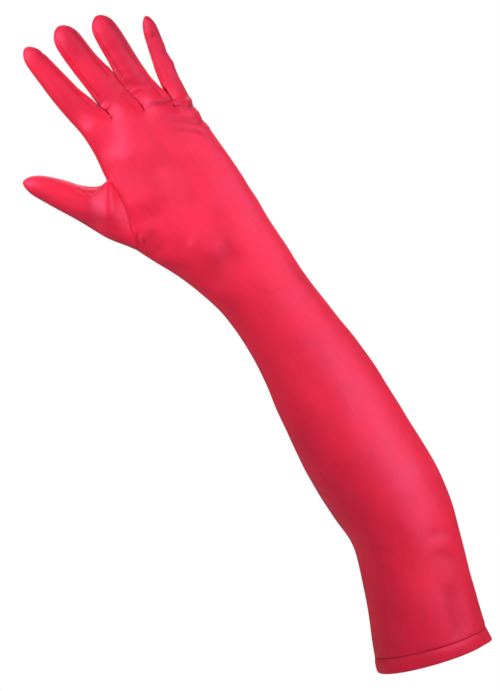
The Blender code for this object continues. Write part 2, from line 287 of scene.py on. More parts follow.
# Folds that run round the edge of the hand and fingers, and show from both sides
EDGE_FOLDS = [
    (184, 103, 196, 96, 0, 1.5, 0.7),
    (186, 109, 201, 102, 0, 1.5, -0.8),
    (190, 117, 205, 109, 0, 1.6, 0.7),
    (196, 124, 209, 116, 0, 1.5, -0.7),
    (199, 130, 213, 124, 0, 1.8, 0.5),
    (38, 56, 46, 51, 0, 1.3, -0.45),
    (148, 33, 157, 28, 0, 1.1, 0.25),
    (149, 38, 158, 34, 0, 1.3, -0.3),
    (160, 55, 171, 49, 0, 2.6, -0.55),
    (167, 67, 178, 59, 0, 3.2, 0.7),
    (172, 80, 184, 75, 0, 2.6, -0.3),
]
# Folds on the back of the hand, by the same picture, seen through the glove
BACK_FOLDS = [
    (102, 178, 140, 168, 4, 3.0, -0.5),
    (104, 188, 138, 180, 4, 2.6, 0.5),
    (160, 240, 230, 215, 3, 3.4, -0.6),
    (165, 250, 238, 225, 3, 3.4, 0.5),
    (172, 262, 246, 236, 3, 3.0, -0.4),
    (380, 500, 440, 480, 6, 5.0, -0.9),
    (376, 515, 448, 500, 6, 4.5, 0.8),
    (372, 532, 452, 522, 6, 4.5, -0.8),
    (370, 548, 452, 542, 5, 4.5, 0.6),
    (110, 112, 150, 140, 2, 8.0, 0.7),
]
# The straight steps of a fold's line, and how many half widths to its side it still counts
FOLD_STEPS = 8
FOLD_REACH = 3
# How far a fold fades out at its ends, as a share of its length, the depth of a valley for its half
# width at which its painted shade is full, how much painted shade a valley and a seam get then, and
# how gradually the glove's front turns to its back
FOLD_FADE = 0.28
STEEP_VALLEY = 0.42
VALLEY_SHADE = 0.70
SEAM_SHADE = 0.16
SIDE_FADE = 0.35

# The share of a finger's length from which its seams run out, over which, and where its cloth ends
TIP_FROM = 0.74
TIP_OVER = 0.16
TIP_END = 1.01
# How far up from each crotch the two fingers press together, over how much they part again, the gap
# that they keep, below zero where they squeeze each other, the widest gap that closes, how level two
# facing places are, where along the fingers their lean is taken, how squarely a side faces its
# neighbour where it moves fully and where it starts to, and how much further the neighbour is searched
PRESSED = [0.0150, 0.0260, 0.0080]
PRESS_FADE = 0.0140
PRESS_CLEARANCE = -0.0001
PRESS_REACH = 0.0080
PRESS_MATCH = 0.0030
PRESS_LEAN_AT = 0.15
PRESS_FACING = 0.40
PRESS_FROM = 0.05
PRESS_SEARCH = 1.5

# Wrinkles across a joint: the limb's cloth, where along it in metres, how many and how far apart and
# high in millimetres, and the middle and half width of the stretch round the limb in degrees
Joint = namedtuple("Joint", "cloth along count spacing height middle reach")
JOINTS = [
    (1, 0.031, 3, 3.4, 0.40, 270, 80),
    (2, 0.031, 3, 3.6, 0.40, 270, 80),
    (3, 0.031, 3, 3.6, 0.40, 270, 80),
    (4, 0.028, 3, 3.0, 0.40, 270, 80),
    (1, 0.054, 2, 2.8, 0.25, 270, 70),
    (2, 0.056, 2, 2.8, 0.25, 270, 70),
    (3, 0.056, 2, 2.8, 0.25, 270, 70),
    (5, 0.040, 5, 3.6, 0.45, 250, 75),
]
# How many of its spacings a wrinkle bows at this many degrees from its middle, and how fast the
# wrinkles die away from the joint
JOINT_BOW = 0.35
JOINT_BOW_AT = 60
JOINT_FALL = 1.2

# Each random wave's own seed
RIPPLE_SEED, PUCKER_SEED, SIDE_SEED, HEM_SEED = 3.1, 7.7, 5.3, 2.2
# The long side seam's depth, puckers and their length, as shares of the other seams'
SIDE_SEAM_DEPTH = 0.8
SIDE_PUCKER = 0.35
SIDE_PUCKER_STEP = 1.6
# Degrees between faces from which an edge stays sharp
SHARP_EDGE = 65


def linear(code):
    """The linear red, green, blue and alpha of an sRGB hex colour."""
    parts = [int(code[n : n + 2], 16) / 255 for n in (1, 3, 5)]
    return (*(c / 12.92 if c <= 0.04045 else ((c + 0.055) / 1.055) ** 2.4 for c in parts), 1.0)


Station = namedtuple("Station", "centre across front along")


def station(centre, lean, curl=0.0):
    """A place on a limb with its directions: across to the little finger, to the front, and along."""
    lean, curl = math.radians(lean), math.radians(curl)
    across = Vector((math.cos(lean), 0.0, math.sin(lean)))
    along = Vector((-math.sin(lean) * math.cos(curl), -math.sin(curl), math.cos(lean) * math.cos(curl)))
    return Station(centre, across, across.cross(along), along)


def walk(start, length, rows):
    """Stations for a limb's rows: each step runs at its row's lean."""
    stations, centre, along = [], start, 0.0
    for row in rows:
        centre = centre + station(centre, row.lean).along * length * (row.along - along)
        stations.append(station(centre, row.tilt))
        along = row.along
    return stations


def spread(points):
    """How much wider a ring of cage points is than the smooth ring that it makes."""
    return 3 / (2 + math.cos(2 * math.pi / points))


def ring(at, width, depth, angles, squareness=2.0, front=0.5):
    """Cage points round a station at angles in degrees, from the across side over the front."""
    points = []
    for angle in angles:
        c, s = math.cos(math.radians(angle)), math.sin(math.radians(angle))
        x = math.copysign(abs(c) ** (2 / squareness), c) * width / 2
        y = math.copysign(abs(s) ** (2 / squareness), s) * depth * (front if s > 0 else 1 - front)
        points.append(at.centre + (at.across * x + at.front * y) * spread(len(angles)))
    return points


def arm_angles(seam):
    """Angles round the sleeve and palm, with the two columns at the thumb's side at its seam."""
    step = 360 / ARM_POINTS
    angles = [step * n for n in range(ARM_POINTS)]
    angles[THUMB_SIDE - 1], angles[THUMB_SIDE + 1] = 180 - seam, 180 + seam
    return angles


def finger_angles(seam):
    """Angles round a finger: side, three across the front, side, three across the back."""
    return [0, seam, 90, 180 - seam, 180, 180 + seam, 270, 360 - seam]


def halved(rings, tip):
    """Twice as many rings for the same smooth tube, from its root to its tip."""
    tube = [*rings, [tip] * len(rings[0])]
    made = [rings[0]]
    for n in range(1, len(rings) + 1):
        made.append([(a + b) / 2 for a, b in zip(tube[n - 1], tube[n])])
        if n < len(rings):
            made.append([(a + b * 6 + c) / 8 for a, b, c in zip(tube[n - 1], tube[n], tube[n + 1])])
    return made


class Cage:
    """The coarse cage: its points, and its faces with the sewn piece and the cloth that each is of."""

    def __init__(self):
        self.points, self.faces, self.marks, self.cloth = [], [], [], []

    def add(self, points):
        """Adds points and gives their numbers."""
        first = len(self.points)
        self.points.extend(points)
        return list(range(first, len(self.points)))

    def face(self, corners, mark, cloth):
        self.faces.append(corners)
        self.marks.append(mark)
        self.cloth.append(cloth)

    def band(self, low, high, marks, start, end):
        """Faces between two rings of point numbers, with a mark for each column, and the places
        along the cloth where the band starts and ends."""
        count = len(low)
        girth = GIRTHS[count] / count
        for j in range(count):
            k = (j + 1) % count
            left, right = j * girth, (j + 1) * girth
            cloth = ((right, start), (left, start), (left, end), (right, end))
            if marks[j] is not None:
                self.face((low[k], low[j], high[j], high[k]), marks[j], cloth)

    def cap(self, low, tip, mark, start, end):
        """Closes a ring with faces that each span two of its edges, from an odd corner."""
        pole = self.add([tip])[0]
        count = len(low)
        girth = GIRTHS[count] / count
        for j in range(1, count, 2):
            a, b, c = low[j], low[(j + 1) % count], low[(j + 2) % count]
            left, middle, right = j * girth, (j + 1) * girth, (j + 2) * girth
            cloth = ((middle, end), (right, start), (middle, start), (left, start))
            self.face((pole, c, b, a), mark, cloth)


def arm_rings(cage):
    """Rings from the hem to the last section before the knuckles, and the knuckles' station."""
    edges = arm_angles(360 / ARM_POINTS)
    start = Vector((0, 0, 0))
    top = start + station(start, HEM.lean).along * HEM_HEIGHT
    rings = []
    for centre in (start, top):
        at = station(centre, HEM.tilt)
        rings.append(cage.add(ring(at, SLEEVE_WIDTH, SLEEVE_DEPTH * HEM.depth, edges)))
    sleeve = walk(start, SLEEVE_LENGTH, SLEEVE)
    for at, row in zip(sleeve, SLEEVE):
        at = at._replace(centre=at.centre - at.front * SLEEVE_DEPTH * row.back)
        rings.append(cage.add(ring(at, SLEEVE_WIDTH * row.width, SLEEVE_DEPTH * row.depth, edges)))
    palm = walk(sleeve[-1].centre, PALM_LENGTH, [*HAND, KNUCKLES])
    for at, row in zip(palm, HAND):
        width, depth = PALM_WIDTH * row.width, PALM_DEPTH * row.depth
        rings.append(cage.add(ring(at, width, depth, arm_angles(row.seam), row.squareness, row.front)))
    return rings, palm[-1]


def knuckle_ring(cage, at):
    """The ring at the roots of the fingers, in the sleeve's order of points, and the webs between them."""

    def place(across, along, fullness):
        level = at.across * across * KNUCKLE_WIDTH + at.along * along * KNUCKLE_WIDTH
        return at.centre + level + at.front * fullness * KNUCKLE_DEPTH / 2

    first, last = ROOTS[0], ROOTS[-1]
    rows = [(first.across + SIDE_INSET, first.along, SIDE_FULLNESS)]
    for left, right in zip(ROOTS, ROOTS[1:]):
        rows.append(((left.across + right.across) / 2, (left.along + right.along) / 2, FINGER_FULLNESS))
        rows.append((right.across, right.along, CROTCH_FULLNESS))
    rows[-1] = (last.across - SIDE_INSET, last.along, SIDE_FULLNESS)
    front = [place(*row) for row in rows]
    back = [place(row[0], row[1], -row[2]) for row in rows]
    thumb_side = place(first.across - SIDE_PROUD, first.along, 0)
    little_side = place(last.across + SIDE_PROUD, last.along, 0)
    points = [little_side, *reversed(front), thumb_side, *back]
    webs = [place(root.across, root.along, 0) + at.along * WEB_RISE for root in ROOTS[1:-1]]
    return cage.add(points), cage.add(webs)


def finger_root(knuckles, webs, number):
    """The eight point numbers round a finger's root, in a finger ring's order."""
    right = knuckles[0] if number == len(FINGERS) - 1 else webs[number]
    left = knuckles[THUMB_SIDE] if number == 0 else webs[number - 1]
    front = [knuckles[THUMB_SIDE - 3 - 2 * number + step] for step in range(3)]
    back = [knuckles[THUMB_SIDE + 1 + 2 * number + step] for step in range(3)]
    return [right, *front, left, *back]


def finger_marks(number):
    """The piece of each of a finger's eight columns: its inner sides belong to the fourchettes."""
    marks = [BODY_PIECE] * FINGER_POINTS
    if number < len(FINGERS) - 1:
        marks[0] = marks[7] = FIRST_FOURCHETTE + number
    if number > 0:
        marks[3] = marks[4] = FIRST_FOURCHETTE + number - 1
    return marks


def width_at(finger, along):
    """A finger's width at a share of its length, from its root, middle and tip widths."""
    a, b, c = finger.root, finger.middle, finger.tip
    t = min(max(along, 0.0), 1.0)
    return FINGER_WIDTH * (a * (1 - t) * (1 - 2 * t) + b * 4 * t * (1 - t) + c * t * (2 * t - 1))


def finger_lean(finger, along):
    """A finger's lean at a share of its length: it settles quickly from its root's."""
    return finger.lean + finger.turn * (1 - along) ** 3


def add_tube(cage, root, rings, tip, marks, first_cloth, length, cap_mark):
    """A finger's or the thumb's faces over its halved rings, closed at its tip."""
    finer = halved([[cage.points[n] for n in root], *rings], tip)
    step = length / len(finer)
    below = root
    for n, points in enumerate(finer[1:]):
        above = cage.add(points)
        cage.band(below, above, marks, first_cloth + n * step, first_cloth + (n + 1) * step)
        below = above
    cage.cap(below, tip, cap_mark, first_cloth + length - step, first_cloth + length)


def add_finger(cage, number, knuckles, webs, at):
    """One finger's tube from its root to its closed tip."""
    finger = FINGERS[number]
    root = finger_root(knuckles, webs, number)
    left, right = ROOTS[number], ROOTS[number + 1]
    across = (left.across + right.across) / 2 * KNUCKLE_WIDTH
    along = (left.along + right.along) / 2 * KNUCKLE_WIDTH
    start = at.centre + at.across * across + at.along * along
    length = FINGER_LENGTH * finger.length
    along, place, rings = 0.0, station(start, finger.lean), []
    for row in FINGER_ROWS:
        middle = (along + row.along) / 2
        step = station(start, finger_lean(finger, middle), finger.curl * middle).along
        centre = place.centre + step * length * (row.along - along)
        place = station(centre, finger_lean(finger, row.along), finger.curl * row.along)
        width = width_at(finger, row.along) * row.girth
        rings.append(ring(place, width, width * FINGER_FLATNESS, finger_angles(row.seam)))
        along = row.along
    tip = place.centre + place.along * length * (FINGER_TIP_REACH - along)
    cloth = FIRST_FINGER_CLOTH + number
    add_tube(cage, root, rings, tip, finger_marks(number), cloth, length, BODY_PIECE)


def thumb_loop(rings):
    """The point numbers round the thumb's hole: top, down its front seam, bottom, and up the back."""
    low, high = THUMB_HOLE
    low, high = low + len(rings) - len(HAND), high + len(rings) - len(HAND)
    front = [rings[row][THUMB_SIDE - 1] for row in range(high, low - 1, -1)]
    back = [rings[row][THUMB_SIDE + 1] for row in range(low, high + 1)]
    return [rings[high][THUMB_SIDE], *front, rings[low][THUMB_SIDE], *back]


def add_thumb(cage, rings):
    """The thumb's tube from its seam to its closed tip."""
    loop = thumb_loop(rings)
    start = sum((cage.points[n] for n in loop), Vector()) / len(loop)
    stations = walk(start, THUMB_LENGTH, THUMB)
    made = []
    for place, row in zip(stations, THUMB):
        width, depth = THUMB_WIDTH * row.width, THUMB_DEPTH * row.depth
        centre = place.centre + place.front * THUMB_DEPTH * row.forward
        points = []
        for n in range(THUMB_POINTS):
            turn = 2 * math.pi * n / THUMB_POINTS
            offset = place.across * math.cos(turn) * width / 2 + place.front * math.sin(turn) * depth / 2
            points.append(centre + offset * spread(THUMB_POINTS))
        made.append(points)
    tip = stations[-1].centre + stations[-1].front * THUMB_DEPTH * THUMB[-1].forward
    tip = tip + stations[-1].along * THUMB_LENGTH * (THUMB_TIP_REACH - THUMB[-1].along)
    marks = [THUMB_PIECE] * THUMB_POINTS
    add_tube(cage, loop, made, tip, marks, THUMB_CLOTH, THUMB_LENGTH, THUMB_PIECE)


def glove_cage():
    """The whole glove as a cage with each face marked with its piece, and the sleeve's rings."""
    cage = Cage()
    rings, at = arm_rings(cage)
    knuckles, webs = knuckle_ring(cage, at)
    rings.append(knuckles)
    low, high = (row + len(rings) - 1 - len(HAND) for row in THUMB_HOLE)
    start = ARM_CLOTH
    for row in range(len(rings) - 1):
        centres = [sum((cage.points[n] for n in rings[k]), Vector()) / ARM_POINTS for k in (row, row + 1)]
        end = start + (centres[1] - centres[0]).length
        marks = [HEM_PIECE if row == 0 else BODY_PIECE] * ARM_POINTS
        if low <= row < high:
            marks[THUMB_SIDE - 1] = marks[THUMB_SIDE] = None
        cage.band(rings[row], rings[row + 1], marks, start, end)
        start = end
    for number in range(len(FINGERS)):
        add_finger(cage, number, knuckles, webs, at)
    add_thumb(cage, rings[:-1])
    return cage, rings


def read_array(rows, name, size, kind=float):
    """One attribute of all of a mesh's elements, as a flat array."""
    values = np.empty(len(rows) * size, kind)
    rows.foreach_get(name, values)
    return values


class Cloth:
    """The glove's fine surface: points, outward directions, faces with their piece and cloth
    coordinates, and how much painted shade each point gets in creases and along seams."""

    def __init__(self, cage):
        mesh = bpy.data.meshes.new("cage")
        mesh.from_pydata([tuple(p) for p in cage.points], [], cage.faces)
        for piece in PIECES:
            mesh.materials.append(bpy.data.materials.new(piece.node))
        mesh.polygons.foreach_set("material_index", cage.marks)
        mesh.uv_layers.new(name="cloth").data.foreach_set("uv", np.array(cage.cloth).ravel())
        holder = bpy.data.objects.new("cage", mesh)
        bpy.context.scene.collection.objects.link(holder)
        smooth = holder.modifiers.new("Smooth", "SUBSURF")
        smooth.levels = smooth.render_levels = SMOOTHING
        bpy.context.view_layer.update()
        fine = bpy.data.meshes.new_from_object(holder.evaluated_get(bpy.context.evaluated_depsgraph_get()))
        self.read(fine)
        for material in list(mesh.materials):
            bpy.data.materials.remove(material)
        bpy.data.objects.remove(holder)
        bpy.data.meshes.remove(mesh)
        bpy.data.meshes.remove(fine)

    def read(self, mesh):
        """Takes the arrays of a mesh of quads, without its loose points."""
        points = read_array(mesh.vertices, "co", 3)
        corners = read_array(mesh.loops, "vertex_index", 1, int)
        marks = read_array(mesh.polygons, "material_index", 1, int)
        cloth = read_array(mesh.uv_layers["cloth"].data, "uv", 2)
        used, corners = np.unique(corners, return_inverse=True)
        self.points = points.reshape(-1, 3)[used]
        self.quads = corners.reshape(-1, 4)
        self.marks = marks
        self.cloth = cloth.reshape(-1, 4, 2)
        self.place = np.empty((len(used), 2))
        self.place[self.quads.ravel()] = self.cloth.reshape(-1, 2)
        self.outward = outward_directions(self.points, self.quads)
        self.crease = np.zeros(len(used))

    def seams(self):
        """Each point's distance to the nearest seam, and how far along that seam its nearest place is."""
        sides = np.sort(np.stack([self.quads, np.roll(self.quads, -1, 1)], 2).reshape(-1, 2), 1)
        edges, back = np.unique(sides, axis=0, return_inverse=True)
        back = back.ravel()
        lowest, highest = np.full(len(edges), len(PIECES)), np.full(len(edges), -1)
        np.minimum.at(lowest, back, np.repeat(self.marks, 4))
        np.maximum.at(highest, back, np.repeat(self.marks, 4))
        beside = {}
        for a, b in edges[lowest != highest].tolist():
            beside.setdefault(a, []).append(b)
            beside.setdefault(b, []).append(a)
        along, tree = {}, KDTree(len(beside))
        for first in sorted(beside):
            here, way = first, 0.0
            while here is not None and here not in along:
                along[here] = way
                ahead = next((n for n in beside[here] if n not in along), None)
                if ahead is not None:
                    way += float(np.linalg.norm(self.points[ahead] - self.points[here]))
                here = ahead
        for n in along:
            tree.insert(self.points[n], n)
        tree.balance()
        found = [tree.find(p) for p in self.points]
        return np.array([f[2] for f in found]), np.array([along[f[1]] for f in found])


def outward_directions(points, quads):
    """Smooth unit normals of a mesh of quads, at its points."""
    a, b, c, d = (points[quads[:, k]] for k in range(4))
    across = np.cross(c - a, d - b)
    normals = np.zeros_like(points)
    for k in range(4):
        np.add.at(normals, quads[:, k], across)
    return normals / np.linalg.norm(normals, axis=1)[:, None]


def limbs(place):
    """The limb's cloth that each place lies on, and how far along it in metres."""
    limb = np.floor(place[:, 1] + EDGE)
    return limb, place[:, 1] - limb


def smoothstep(t):
    """0 below 0, 1 above 1, and a smooth rise between."""
    t = np.clip(t, 0.0, 1.0)
    return t * t * (3 - 2 * t)


def seen(points):
    """Where the camera sees points, in the picture's pixels."""
    near = CAMERA_DISTANCE / (points[:, 1] + CAMERA_DISTANCE) / PIXEL
    x = FRAME_WIDTH / 2 + (points[:, 0] - CAMERA_X) * near
    y = FRAME_HEIGHT / 2 - (points[:, 2] - CAMERA_Z) * near
    return np.stack([x, y], 1)


def fold_heights(pixels, folds):
    """Metres by which folds raise the cloth at points seen at these pixels, and how much painted
    shade each point gets from lying in a steep valley."""
    height, valley_painted_shade = np.zeros(len(pixels)), np.zeros(len(pixels))
    for fold in map(Fold._make, folds):
        start, end = np.array([fold.x0, fold.y0]), np.array([fold.x1, fold.y1])
        way = end - start
        left = np.array([way[1], -way[0]]) / np.linalg.norm(way)
        steps = np.linspace(0, 1, FOLD_STEPS + 1)
        line = start + way * steps[:, None] + left * (fold.bow * 4 * steps * (1 - steps))[:, None]
        reach = FOLD_REACH * fold.width * MILLIMETRE / PIXEL
        near = np.all((pixels > line.min(0) - reach) & (pixels < line.max(0) + reach), axis=1)
        spots = pixels[near]
        best, share = np.full(len(spots), np.inf), np.zeros(len(spots))
        for n in range(FOLD_STEPS):
            run = line[n + 1] - line[n]
            t = np.clip((spots - line[n]) @ run / (run @ run), 0, 1)
            gap = np.linalg.norm(spots - line[n] - t[:, None] * run, axis=1)
            closer = gap < best
            best[closer] = gap[closer]
            share[closer] = (n + t[closer]) / FOLD_STEPS
        profile = np.exp(-((best * PIXEL / MILLIMETRE / fold.width) ** 2))
        fade = smoothstep(share / FOLD_FADE) * smoothstep((1 - share) / FOLD_FADE)
        height[near] += MILLIMETRE * fold.height * profile * fade
        # A steep valley gets painted shade, the more the steeper it is
        steepness = -fold.height / fold.width / STEEP_VALLEY
        if steepness > 0:
            valley_painted_shade[near] = np.maximum(valley_painted_shade[near], profile * fade * min(1.0, steepness))
    return height, valley_painted_shade


def joint_heights(place):
    """Metres by which the wrinkles over the joints raise the cloth at its places."""
    height = np.zeros(len(place))
    cloth, along = limbs(place)
    for joint in map(Joint._make, JOINTS):
        points = {ARM_CLOTH: ARM_POINTS, THUMB_CLOTH: THUMB_POINTS}.get(joint.cloth, FINGER_POINTS)
        turn = place[:, 0] / GIRTHS[points] * 360
        off = np.abs((turn - joint.middle + 180) % 360 - 180) / joint.reach
        gap = (along - joint.along) / (joint.spacing * MILLIMETRE)
        bend = JOINT_BOW * (off * joint.reach / JOINT_BOW_AT) ** 2
        wave = np.cos(2 * math.pi * (gap + bend)) * np.exp(-((gap * 2 / joint.count) ** 2) * JOINT_FALL)
        height += (cloth == joint.cloth) * MILLIMETRE * joint.height * wave * smoothstep(1 - off)
    return height


def waves(points, size, seed):
    """Soft random waves from -1 to 1 of about this size over points."""
    shift = Vector((seed, seed * 0.7, seed * 1.3))
    return np.array([noise.noise(Vector(p) / size + shift) for p in points.tolist()])


def waves_along(way, size, seed):
    """Soft random waves along a way in metres."""
    none = np.zeros_like(way)
    return waves(np.stack([way, none, none], 1), size, seed)


@cache
def shaped_cloth(sizes):
    """The fine surface with its folds, wrinkles, seams and puckers, made once for the same sizes."""
    cage, rings = glove_cage()
    cloth = Cloth(cage)
    pixels = seen(cloth.points)
    forward = -cloth.outward[:, 1]
    front, back = smoothstep(0.5 + forward / SIDE_FADE), smoothstep(0.5 - forward / SIDE_FADE)
    folds, valleys_painted_shade = joint_heights(cloth.place), np.zeros(len(pixels))
    for table, weight in ((FRONT_FOLDS, front), (BACK_FOLDS, back), (EDGE_FOLDS, 1.0)):
        height, valley_painted_shade = fold_heights(pixels, table)
        folds += height * weight
        valleys_painted_shade = np.maximum(valleys_painted_shade, valley_painted_shade * weight)
    height = folds * sizes.fold_strength
    height += sizes.ripple * waves(cloth.points, sizes.ripple_size, RIPPLE_SEED)
    distance, along = cloth.seams()
    shown = 1 - fingertips(cloth)
    groove = np.exp(-((distance / sizes.seam_width) ** 2)) * shown
    height -= sizes.seam_depth * groove
    pucker = waves_along(along, sizes.pucker_step, PUCKER_SEED)
    height += sizes.pucker * pucker * np.exp(-distance / sizes.pucker_reach) * shown
    side = side_seam_distance(cloth)
    side_groove = np.exp(-((side / sizes.seam_width) ** 2))
    height -= sizes.seam_depth * SIDE_SEAM_DEPTH * side_groove
    side_pucker = waves_along(cloth.place[:, 1], sizes.pucker_step * SIDE_PUCKER_STEP, SIDE_SEED)
    height += sizes.pucker * SIDE_PUCKER * side_pucker * np.exp(-side / sizes.pucker_reach)
    # Painted shade: steep valleys and the seams' grooves darken the cloth's colour
    cloth.crease = np.maximum(VALLEY_SHADE * valleys_painted_shade, SEAM_SHADE * np.maximum(groove, side_groove))
    cloth.points = cloth.points + cloth.outward * height[:, None] + pressed_fingers(cloth)
    cloth.rings = rings
    cloth.cage_points = cage.points
    return cloth


def fingertips(cloth):
    """1 at the fingers' tips and 0 along their lengths, where their seams run out."""
    tips = np.zeros(len(cloth.points))
    for number, finger in enumerate(FINGERS):
        share = (cloth.place[:, 1] - FIRST_FINGER_CLOTH - number) / (FINGER_LENGTH * finger.length)
        tips += (share > 0) * (share < TIP_END) * smoothstep((share - TIP_FROM) / TIP_OVER)
    return tips


def pressed_fingers(cloth):
    """Moves the facing sides of neighbouring fingers against each other near their roots."""
    moves = np.zeros_like(cloth.points)
    limb, along = limbs(cloth.place)
    for number, length in enumerate(PRESSED):
        leans = [finger_lean(FINGERS[number + n], PRESS_LEAN_AT) for n in (0, 1)]
        between = station(Vector(), sum(leans) / 2)
        across, up = np.array(between.across), np.array(between.along)
        for way, mine, other in ((1, number, number + 1), (-1, number + 1, number)):
            facing = cloth.outward @ across * way
            near = (along < length + PRESS_FADE) & (facing > PRESS_FROM)
            mine = np.flatnonzero(near & (limb == FIRST_FINGER_CLOTH + mine))
            far = (along < length + PRESS_SEARCH * PRESS_FADE) & (facing < -PRESS_FROM)
            other = np.flatnonzero(far & (limb == FIRST_FINGER_CLOTH + other))
            level = np.stack([cloth.points @ up, cloth.points[:, 1], np.zeros(len(along))], 1)
            tree = KDTree(len(other))
            for n in other.tolist():
                tree.insert(level[n], n)
            tree.balance()
            for n in mine.tolist():
                match, off = tree.find(level[n])[1:]
                gap = float((cloth.points[match] - cloth.points[n]) @ across) * way
                if off < PRESS_MATCH and 0 < gap < PRESS_REACH:
                    hold = float(smoothstep((length + PRESS_FADE - along[n]) / PRESS_FADE))
                    share = (gap - PRESS_CLEARANCE) / 2 * float(smoothstep(facing[n] / PRESS_FACING)) * hold
                    moves[n] = across * way * share
    return moves


def side_seam_distance(cloth):
    """Each point's distance round the cloth to the long seam on the little finger's side."""
    limb, _ = limbs(cloth.place)
    little = FIRST_FINGER_CLOTH + len(FINGERS) - 1
    far = np.full(len(limb), 1.0)
    for number, points in ((ARM_CLOTH, ARM_POINTS), (little, FINGER_POINTS)):
        here = limb == number
        round_it = cloth.place[here, 0]
        far[here] = np.minimum(np.abs(round_it), np.abs(GIRTHS[points] - round_it))
    return far


def values_now(group):
    """A property group's values with their names, as they are now."""
    names = list(type(group).__annotations__)
    values = (getattr(group, name) for name in names)
    fixed = (value if isinstance(value, float) else tuple(value) for value in values)
    return namedtuple("Values", names)(*fixed)


def glove_sizes():
    """The sizes that are set now."""
    return values_now(bpy.context.scene.glove_sizes)


def glove_colours():
    """The colours that are set now."""
    return values_now(bpy.context.scene.glove_colours)


def mesh_object(name, points, faces, materials, slots=None, uvs=None, crease=None):
    """A shaded mesh object at the origin, with its UV map and its attribute of painted crease shade."""
    mesh = bpy.data.meshes.new(name)
    mesh.from_pydata([tuple(p) for p in points], [], [tuple(f) for f in faces])
    for material in materials:
        mesh.materials.append(material)
    if slots is not None:
        mesh.polygons.foreach_set("material_index", slots)
    if uvs is not None:
        mesh.uv_layers.new(name="cloth").data.foreach_set("uv", np.asarray(uvs, float).ravel())
    if crease is not None:
        shade = mesh.attributes.new("crease", "FLOAT", "POINT")
        shade.data.foreach_set("value", np.asarray(crease, np.float32))
    mesh.shade_smooth()
    made = bpy.data.objects.new(name, mesh)
    bpy.context.scene.collection.objects.link(made)
    return made


def eased(points, quads, rims, gap):
    """Points with a piece's edge drawn back along the cloth by half the seam's gap."""
    edge = set(rims.ravel().tolist())
    inner = {n: [] for n in edge}
    for quad in quads[np.isin(quads, list(edge)).any(axis=1)].tolist():
        for k in range(4):
            a, b = quad[k], quad[(k + 1) % 4]
            if a in edge and b not in edge:
                inner[a].append(b)
            if b in edge and a not in edge:
                inner[b].append(a)
    made = points.copy()
    for n, beside in inner.items():
        if beside:
            way = points[beside].mean(axis=0) - points[n]
            made[n] += way / np.linalg.norm(way) * gap / 2
    return made


def sewn_piece(mark):
    """One sewn piece: cut from the shaped cloth, with its inner side and its edges."""
    sizes, piece = glove_sizes(), PIECES[mark]
    cloth = shaped_cloth(sizes)
    mine = cloth.marks == mark
    used, quads = np.unique(cloth.quads[mine], return_inverse=True)
    quads = quads.reshape(-1, 4)
    sides = np.stack([quads, np.roll(quads, -1, 1)], 2).reshape(-1, 2)
    _, first, counts = np.unique(np.sort(sides, 1), axis=0, return_index=True, return_counts=True)
    rims = sides[first[counts == 1]]
    outer = eased(cloth.points[used], quads, rims, sizes.seam_gap)
    inner = outer - cloth.outward[used] * sizes.wall
    count = len(used)
    edges = np.stack([rims[:, 1], rims[:, 0], rims[:, 0] + count, rims[:, 1] + count], 1)
    faces = np.concatenate([quads, quads[:, ::-1] + count, edges])
    place = cloth.place[used]
    uvs = np.concatenate([cloth.cloth[mine], cloth.cloth[mine][:, ::-1], place[edges % count]])
    slots = np.concatenate([np.zeros(len(quads), int), np.ones(len(quads), int), np.zeros(len(edges), int)])
    # The painted shade in creases and along seams, the same on both walls
    crease = np.tile(cloth.crease[used], 2)
    points = np.concatenate([outer, inner])
    name, colours = PIECE_NAME.format(piece.node), glove_colours()
    materials = [satin(colours), satin_reverse(colours)]
    made = mesh_object(name, points, faces.tolist(), materials, slots, uvs, crease)
    made.data.set_sharp_from_angle(angle=math.radians(SHARP_EDGE))
    return made


def spline_ring(points, count):
    """Places and directions round the smooth closed curve that a ring of cage points makes."""
    ring_points = np.array([tuple(p) for p in points])
    at = np.arange(count) / count * len(ring_points)
    first, f = np.floor(at).astype(int), at - np.floor(at)
    weights = [(1 - f) ** 3, 3 * f**3 - 6 * f**2 + 4, -3 * f**3 + 3 * f**2 + 3 * f + 1, f**3]
    made = sum(
        ring_points[(first + n - 1) % len(ring_points)] * weight[:, None] / 6
        for n, weight in enumerate(weights)
    )
    ahead = np.roll(made, -1, 0) - np.roll(made, 1, 0)
    return made, ahead / np.linalg.norm(ahead, axis=1)[:, None]


# The hem band's columns round the sleeve, and its rows down the outside, round the fold and up inside
HEM_COLUMNS = 320
HEM_OUTER, HEM_FOLD, HEM_INNER = 10, 6, 5
# The turned-in cloth reaches up behind the sleeve to HEM_FLANGE of the hem's height, and the band
# closes at HEM_RETURN of it, this far off the sleeve
HEM_FLANGE = 1.30
HEM_RETURN = 0.96
HEM_CLEARANCE = 0.0002
# Share of the height over which the painted shade in the crease below the stitches fades, how far
# the band hangs below the cage, the length of its waves, where it starts to flare, and the cloth
# between two of its rows
HEM_SHADE_FADE = 0.12
HEM_DROP = 0.0002
HEM_WAVE_SIZE = 0.011
FLARE_FROM = 0.80
HEM_ROW = 0.0008
# Shares of the band's swell and of its waves that reach its edges
PUFF_AT_EDGE, WAVE_AT_EDGE = 0.5, 0.3
# How far the stitches lie below the hem's upper edge
STITCH_DROP = 0.0004


def hem_frames():
    """The hem's lower edge round the sleeve, the way up the band, its height there, and outwards."""
    cloth = shaped_cloth(glove_sizes())
    low, high, above = (np.array([tuple(cloth.cage_points[n]) for n in row]) for row in cloth.rings[:3])
    lower, ahead = spline_ring(low, HEM_COLUMNS)
    upper, _ = spline_ring((low + high * 4 + above) / 6, HEM_COLUMNS)
    up = upper - lower
    tall = np.linalg.norm(up, axis=1)
    up = up / tall[:, None]
    outward = np.cross(up, ahead)
    return lower, up, tall, outward / np.linalg.norm(outward, axis=1)[:, None]


